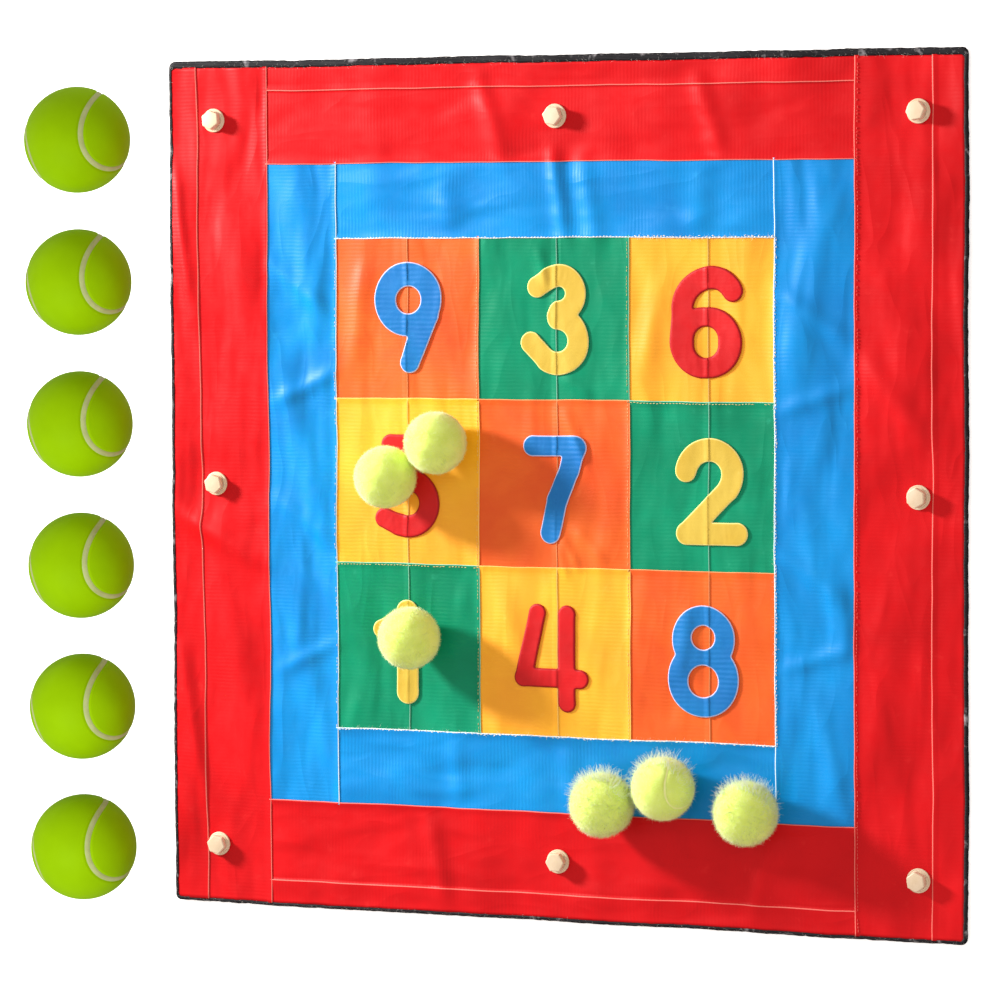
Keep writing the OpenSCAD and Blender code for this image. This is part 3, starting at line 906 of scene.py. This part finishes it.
def makeSeam(name, body, centre, turn, radius, width, material, height):
    # a plain ring, whose points then follow the seam's line round the ball
    bm = bmesh.new()
    sides, count = len(seamBand), len(seamLine)
    bmesh.ops.create_circle(bm, segments=sides, radius=0.1)
    bmesh.ops.rotate(bm, verts=bm.verts[:], cent=(0, 0, 0), matrix=degreesTurn((90, 0, 0)))
    bmesh.ops.translate(bm, verts=bm.verts[:], vec=(1, 0, 0))
    spinRound(bm, count)
    for vertex in bm.verts:
        x, y, z = vertex.co
        i = round(math.atan2(y, x) / fullTurn * count) % count
        share, rise = seamBand[round(math.atan2(math.hypot(x, y) - 1, z) / fullTurn * sides) % sides]
        point = seamLine[i]
        ahead = (seamLine[(i + 1) % count] - seamLine[i - 1]).normalized()
        side = point.cross(ahead).normalized()
        place = (point * radius + side * share * width / 2).normalized() * (radius + rise * height)
        vertex.co = turn @ place + centre
    bmesh.ops.recalc_face_normals(bm, faces=bm.faces[:])
    return finishPiece(bm, name, material, body)


def ballAt(node):
    low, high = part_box(node)
    return (low + high) / 2, (high.z - low.z) / 2


def placeBall(bm, turn, centre):
    bmesh.ops.rotate(bm, verts=bm.verts[:], cent=(0, 0, 0), matrix=turn)
    bmesh.ops.translate(bm, verts=bm.verts[:], vec=centre)


playBall = {
    "turn": degreesTurn((18.5, 10.8, -31.6)),
    "groove": 0.9 * mm, "seam": 7.0 * mm, "radius": 57.5 * mm,
}
playTemplate = bmesh.new()
bmesh.ops.create_icosphere(playTemplate, subdivisions=7, radius=1.0)
for vertex in playTemplate.verts:
    away = seamDistance(vertex.co.normalized()) * playBall["radius"]
    dent = playBall["groove"] * (1 - ease(3.1 * mm, 5.0 * mm, away))
    vertex.co *= 1 - dent / playBall["radius"]
playMesh = meshOf(playTemplate, "smooth ball shape")
playPieces = []
for i in range(1, 7):
    node = "play_ball_%d" % i
    centre, radius = ballAt(node)
    bm = bmesh.new()
    bm.from_mesh(playMesh)
    bmesh.ops.scale(bm, verts=bm.verts[:], vec=(radius, radius, radius))
    placeBall(bm, playBall["turn"], centre)
    ball = finishPiece(bm, "smooth_ball_%d" % i, playRubber, node)
    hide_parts(node)
    seam = makeSeam("smooth_ball_seam_%d" % i, node, centre, playBall["turn"],
                    radius - 0.75 * mm, playBall["seam"], playSeam, 0.55 * mm)
    playPieces += [ball, seam]
print("smooth balls made")


def addFibre(bm, template, place, direction, spin, length):
    turn = direction.to_track_quat("Z", "Y").to_matrix().to_4x4() @ Matrix.Rotation(spin, 4, "Z")
    copy = template.copy()
    copy.transform(Matrix.Translation(place) @ turn @ Matrix.Scale(length, 4))
    bm.from_mesh(copy)
    bpy.data.meshes.remove(copy)


def anyWay(rng):
    return Vector((rng.gauss(0, 1), rng.gauss(0, 1), rng.gauss(0, 1)))


# fuzz: length of the fibres against the usual; tufts: number of long ones; seam: how far it shows
feltLook = {
    "upper": {"turn": (70, 10, 30), "fuzz": 1.15, "tufts": 0, "seam": 0.0},
    "left": {"turn": (100, 40, 0), "fuzz": 1.15, "tufts": 0, "seam": 0.0},
    "low": {"turn": (60, -30, 80), "fuzz": 1.15, "tufts": 0, "seam": 0.0},
    "edge_left": {"turn": (95, 20, 60), "fuzz": 1.6, "tufts": 1500, "seam": 0.0},
    "edge_middle": {"turn": (40, 15, -20), "fuzz": 1.2, "tufts": 900, "seam": 0.9},
    "edge_right": {"turn": (85, 50, 120), "fuzz": 1.5, "tufts": 1100, "seam": 0.0},
}


def makeFibreMeshes(thickRatio):
    # slim fibres of unit length, each with its own bend
    meshes = []
    for seed in range(7):
        bm = bmesh.new()
        bmesh.ops.create_cone(bm, segments=3, radius1=1.0, radius2=0.25, depth=1.0, cap_ends=False,
                              matrix=Matrix.Translation((0, 0, 0.5)))
        bmesh.ops.subdivide_edges(bm, edges=uprightEdges(bm, 0.5), cuts=1)
        bend = 0.12 + 0.09 * seed
        for vertex in bm.verts:
            x, y, z = vertex.co
            vertex.co.x = x * thickRatio + bend * z * z
            vertex.co.y = y * thickRatio + 0.15 * math.sin(2.4 * z + seed) * z
        meshes.append(meshOf(bm, "fibre %d" % seed))
    return meshes


fibresPerBall = 6400
shortFibres = makeFibreMeshes(0.085)
longFibres = makeFibreMeshes(0.023)


def makeFeltBall(name):
    node = "felt_ball_" + name
    look = feltLook[name]
    centre, radius = ballAt(node)
    turn = degreesTurn(look["turn"])
    rng = random.Random("felt " + name)
    bm = bmesh.new()
    bmesh.ops.create_icosphere(bm, subdivisions=6, radius=1.0)
    for vertex in bm.verts:
        out = vertex.co.normalized()
        away = seamDistance(out) * radius
        dent = (0.1 + 0.9 * look["seam"]) * mm * (1 - ease(0.8 * mm, 3.0 * mm, away))
        lump = 0.5 * mm * ripple(out.x * 3, out.y * 3, out.z * 3 + len(name))
        lump += 0.10 * mm * noise.noise(out * 30)
        vertex.co = out * (radius - 0.6 * mm - dent + lump)
    placeBall(bm, turn, centre)
    ball = finishPiece(bm, "felt_ball_cover_" + name, ballFelt, node)
    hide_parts(node)
    sunk, wide = 1.15 + 0.2 * look["seam"], 1.4 + 1.0 * look["seam"]
    makeSeam("felt_ball_seam_" + name, node, centre, turn,
             radius - sunk * mm, wide * mm, feltSeam, 0.25 * mm)
    fuzz = bmesh.new()
    backTurn = turn.inverted()
    count = 0
    while count < fibresPerBall:
        out = anyWay(rng).normalized()
        if seamDistance(backTurn @ out) * radius < 1.3 * mm and rng.random() < look["seam"]:
            continue
        lean = (out + 0.9 * anyWay(rng)).normalized()
        if lean.dot(out) < 0.15:
            continue
        length = look["fuzz"] * rng.uniform(1.1, 2.5) * mm
        addFibre(fuzz, shortFibres[count % 7], centre + out * (radius - 1.1 * mm), lean,
                 rng.uniform(0, fullTurn), length)
        count += 1
    finishPiece(fuzz, "felt_ball_fuzz_" + name, ballFuzz, node)
    if look["tufts"]:
        tufts = bmesh.new()
        for i in range(look["tufts"]):
            # combed up the mat, longest on the far side
            angle = rng.uniform(0, fullTurn)
            out = Vector((math.cos(angle), math.sin(angle), rng.uniform(-0.35, 0.75))).normalized()
            upward = ease(-0.6, 0.9, out.y)
            if rng.random() > 0.45 + 0.55 * upward:
                continue
            lean = (out + Vector((0, 0.5, 0.1)) * upward + 0.5 * anyWay(rng)).normalized()
            length = rng.uniform(2.5, 5.0) * mm + upward * rng.uniform(2.5, 8.0) * mm
            addFibre(tufts, longFibres[i % 7], centre + out * (radius - 1.0 * mm), lean,
                     rng.uniform(0, fullTurn), length)
        finishPiece(tufts, "felt_ball_tufts_" + name, paleFuzz, node)


for name in feltNames:
    makeFeltBall(name)
print("felt balls made")


# Stitching: short beads of thread along the seams
stitchShape = {"pitch": 3.6 * mm, "long": 2.7 * mm, "thick": 0.42 * mm, "lift": 0.9 * mm}
stitchUnit = 1.4  # length of the bead below, before it is scaled


def stitchMesh():
    bm = bmesh.new()
    bmesh.ops.create_cone(bm, segments=6, radius1=1, radius2=1, depth=stitchUnit, cap_ends=True,
                          matrix=Matrix.Rotation(math.radians(90), 4, "Y"))
    ends = [e for e in bm.edges if abs(e.verts[0].co.x - e.verts[1].co.x) < 0.1]
    bevelEdges(bm, ends, 0.45, 1)
    return meshOf(bm, "stitch")


stitch = stitchMesh()


def lineEnds(axis, at, first, last):
    return [Vector((at, v) if axis == "x" else (v, at)) for v in (first, last)]


def sewLine(bm, line, rng, share, wild, thick=1.0):
    # share of the stitches that show, and how unevenly they lie
    start, end = lineEnds(*line)
    run = end - start
    count = int(run.length / stitchShape["pitch"])
    for i in range(count):
        if rng.random() > share:
            continue
        middle = start + run * (i + 0.5) / count
        dx, dy = sway(middle.x, middle.y)
        angle = math.atan2(run.y, run.x) + rng.gauss(0, 0.05 + wild * 0.7)
        off = rng.gauss(0, 0.12 + wild * 0.9) * mm
        x = middle.x + dx - math.sin(angle) * off
        y = middle.y + dy + math.cos(angle) * off
        z = coverTop + drape(middle.x, middle.y) + stitchShape["lift"]
        wide = stitchShape["thick"] * thick
        scale = Matrix.Diagonal((stitchShape["long"] / stitchUnit * rng.uniform(0.8, 1.15),
                                 wide, wide * 0.8, 1))
        copy = stitch.copy()
        copy.transform(Matrix.Translation((x, y, z)) @ Matrix.Rotation(angle, 4, "Z") @ scale)
        bm.from_mesh(copy)
        bpy.data.meshes.remove(copy)


def strayHairs(bm, line, rng, count, length=3.0 * mm, lift=stitchShape["lift"]):
    start, end = lineEnds(*line)
    for i in range(count):
        spot = start + (end - start) * rng.random()
        dx, dy = sway(spot.x, spot.y)
        x, y = spot.x + dx + rng.gauss(0, 0.6) * mm, spot.y + dy + rng.gauss(0, 0.6) * mm
        z = coverTop + drape(spot.x, spot.y) + lift
        lean = Vector((rng.gauss(0, 1), rng.gauss(0, 1), abs(rng.gauss(0, 0.25)) + 0.05)).normalized()
        addFibre(bm, longFibres[i % 7], Vector((x, y, z)), lean,
                 rng.uniform(0, fullTurn), length * rng.uniform(0.5, 1.4))


# Lines: the axis they stand across, their place on it, and both ends
left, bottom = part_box("square_1")[0].xy
right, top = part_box("square_6")[1].xy
rng = random.Random(41)
white = bmesh.new()
sewLine(white, ("x", left - 2.2 * mm, bottom, top), rng, 0.5, 0.05, 0.7)
sewLine(white, ("y", top + 1.0 * mm, left, right), rng, 0.95, 0.15)
sewLine(white, ("y", top + 1.6 * mm, 0.09, right), rng, 0.9, 0.9)
sewLine(white, ("y", bottom - 1.0 * mm, left, right), rng, 0.95, 0.35)
sewLine(white, ("x", right + 2.0 * mm, bottom, top), rng, 0.95, 0.25)
sewLine(white, ("x", right + 1.2 * mm, 0.0, 0.15), rng, 0.9, 0.9)
strayHairs(white, ("y", top + 1.0 * mm, 0.09, right), rng, 260)
strayHairs(white, ("y", bottom, left, right), rng, 360)
strayHairs(white, ("x", right + 1 * mm, bottom, top), rng, 420)
finishPiece(white, "frame_stitching", thread)

cream = bmesh.new()
for number in ("2", "1"):
    low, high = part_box("square_" + number)
    sewLine(cream, ("y", high.y - 2.4 * mm, low.x, high.x), rng, 0.9, 0.1, 0.8)
for number in ("9", "3", "7", "5", "4", "1"):
    low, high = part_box("square_" + number)
    sewLine(cream, ("x", high.x - 2.6 * mm, low.y, high.y), rng, 0.75, 0.08, 0.6)
finishPiece(cream, "square_stitching", creamThread)

red = bmesh.new()
low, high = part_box("red_border_right")
sewLine(red, ("x", low.x + 3.4 * mm, low.y, high.y), rng, 0.85, 0.08, 0.7)
strayHairs(red, ("x", low.x, low.y, high.y), rng, 60)
finishPiece(red, "border_stitching", redThread)

fray = bmesh.new()
for line, count in (
    (("x", matLow.x + 1 * mm, matLow.y, matHigh.y), 500),
    (("y", matLow.y + 1 * mm, matLow.x, matHigh.x), 700),
    (("y", redHigh.y, matLow.x, matHigh.x), 500),
    (("y", matHigh.y - 1 * mm, matLow.x, matHigh.x), 260),
):
    strayHairs(fray, line, rng, count, 2.6 * mm, 0.2 * mm)
finishPiece(fray, "edge_fray", thread)
print("stitching made")


# Floor and light
def makeFloor():
    bm = bmesh.new()
    bmesh.ops.create_grid(bm, x_segments=2, y_segments=2, size=14)
    mesh = meshOf(bm, "floor")
    floor = bpy.data.objects.new("floor", mesh)
    scene.collection.objects.link(floor)
    material, tree, shader, place = newMaterial("pale floor")
    # white to the eye, but a plain grey to the light it throws back on the balls
    seen = tree.nodes.new("ShaderNodeLightPath").outputs["Is Camera Ray"]
    shade = addMix(tree, addNoise(tree, place, 3, 2), (0.93, 0.93, 0.93, 1), (0.96, 0.96, 0.96, 1))
    tree.links.new(addMix(tree, seen, (0.42, 0.42, 0.42, 1), shade), shader.inputs["Base Color"])
    shader.inputs["Roughness"].default_value = 0.9
    shader.inputs["Specular IOR Level"].default_value = 0.0
    shader.inputs["Emission Color"].default_value = (1, 1, 1, 1)
    tree.links.new(addMath(tree, "MULTIPLY", seen, 0.55), shader.inputs["Emission Strength"])
    mesh.materials.append(material)


lightLook = {
    "key": {"place": (-2.39, 1.05, 0.97), "size": 0.46, "power": 152, "colour": (1.0, 0.985, 0.955)},
    "row": {"place": (-0.80, -1.15, 2.20), "size": 0.7, "power": 44, "colour": (1.0, 1.0, 0.96)},
    "sky": 0.86,
}


def newCollection(name, pieces):
    group = bpy.data.collections.new(name)
    for piece in pieces:
        group.objects.link(piece)
    return group


def setLinks(group, state):
    # after the collection is in use by a lamp
    for entry in group.collection_objects:
        entry.light_linking.link_state = state


def makeLamp(name, aim, pieces, state):
    # one round lamp; the given pieces are the only ones it lights, or the ones it passes by
    look = lightLook[name]
    data = bpy.data.lights.new(name, "AREA")
    data.shape = "DISK"
    data.size = look["size"]
    data.energy = look["power"]
    data.color = look["colour"]
    lamp = bpy.data.objects.new(name, data)
    scene.collection.objects.link(lamp)
    place = Vector(look["place"])
    away = (place - aim).to_track_quat("Z", "Y").to_matrix().to_4x4()
    lamp.matrix_world = Matrix.Translation(place) @ away
    lamp.light_linking.receiver_collection = newCollection(name + " light lands", pieces)
    setLinks(lamp.light_linking.receiver_collection, state)
    return lamp


def makeLights():
    # the row of smooth balls has a lamp of its own and doesn't shade the mat
    key = makeLamp("key", Vector((0, 0, 0)), playPieces, "EXCLUDE")
    key.light_linking.blocker_collection = newCollection("key light passes", playPieces)
    setLinks(key.light_linking.blocker_collection, "EXCLUDE")
    makeLamp("row", middleOf("play_ball_3"), playPieces, "INCLUDE")
    world = bpy.data.worlds.new("studio")
    scene.world = world
    world.use_nodes = True
    sky = world.node_tree.nodes["Background"]
    sky.inputs["Color"].default_value = (1.0, 0.88, 0.82, 1)
    sky.inputs["Strength"].default_value = lightLook["sky"]
    world.cycles_visibility.glossy = False
    scene.view_settings.view_transform = "Standard"
    scene.view_settings.look = "None"


makeFloor()
makeLights()
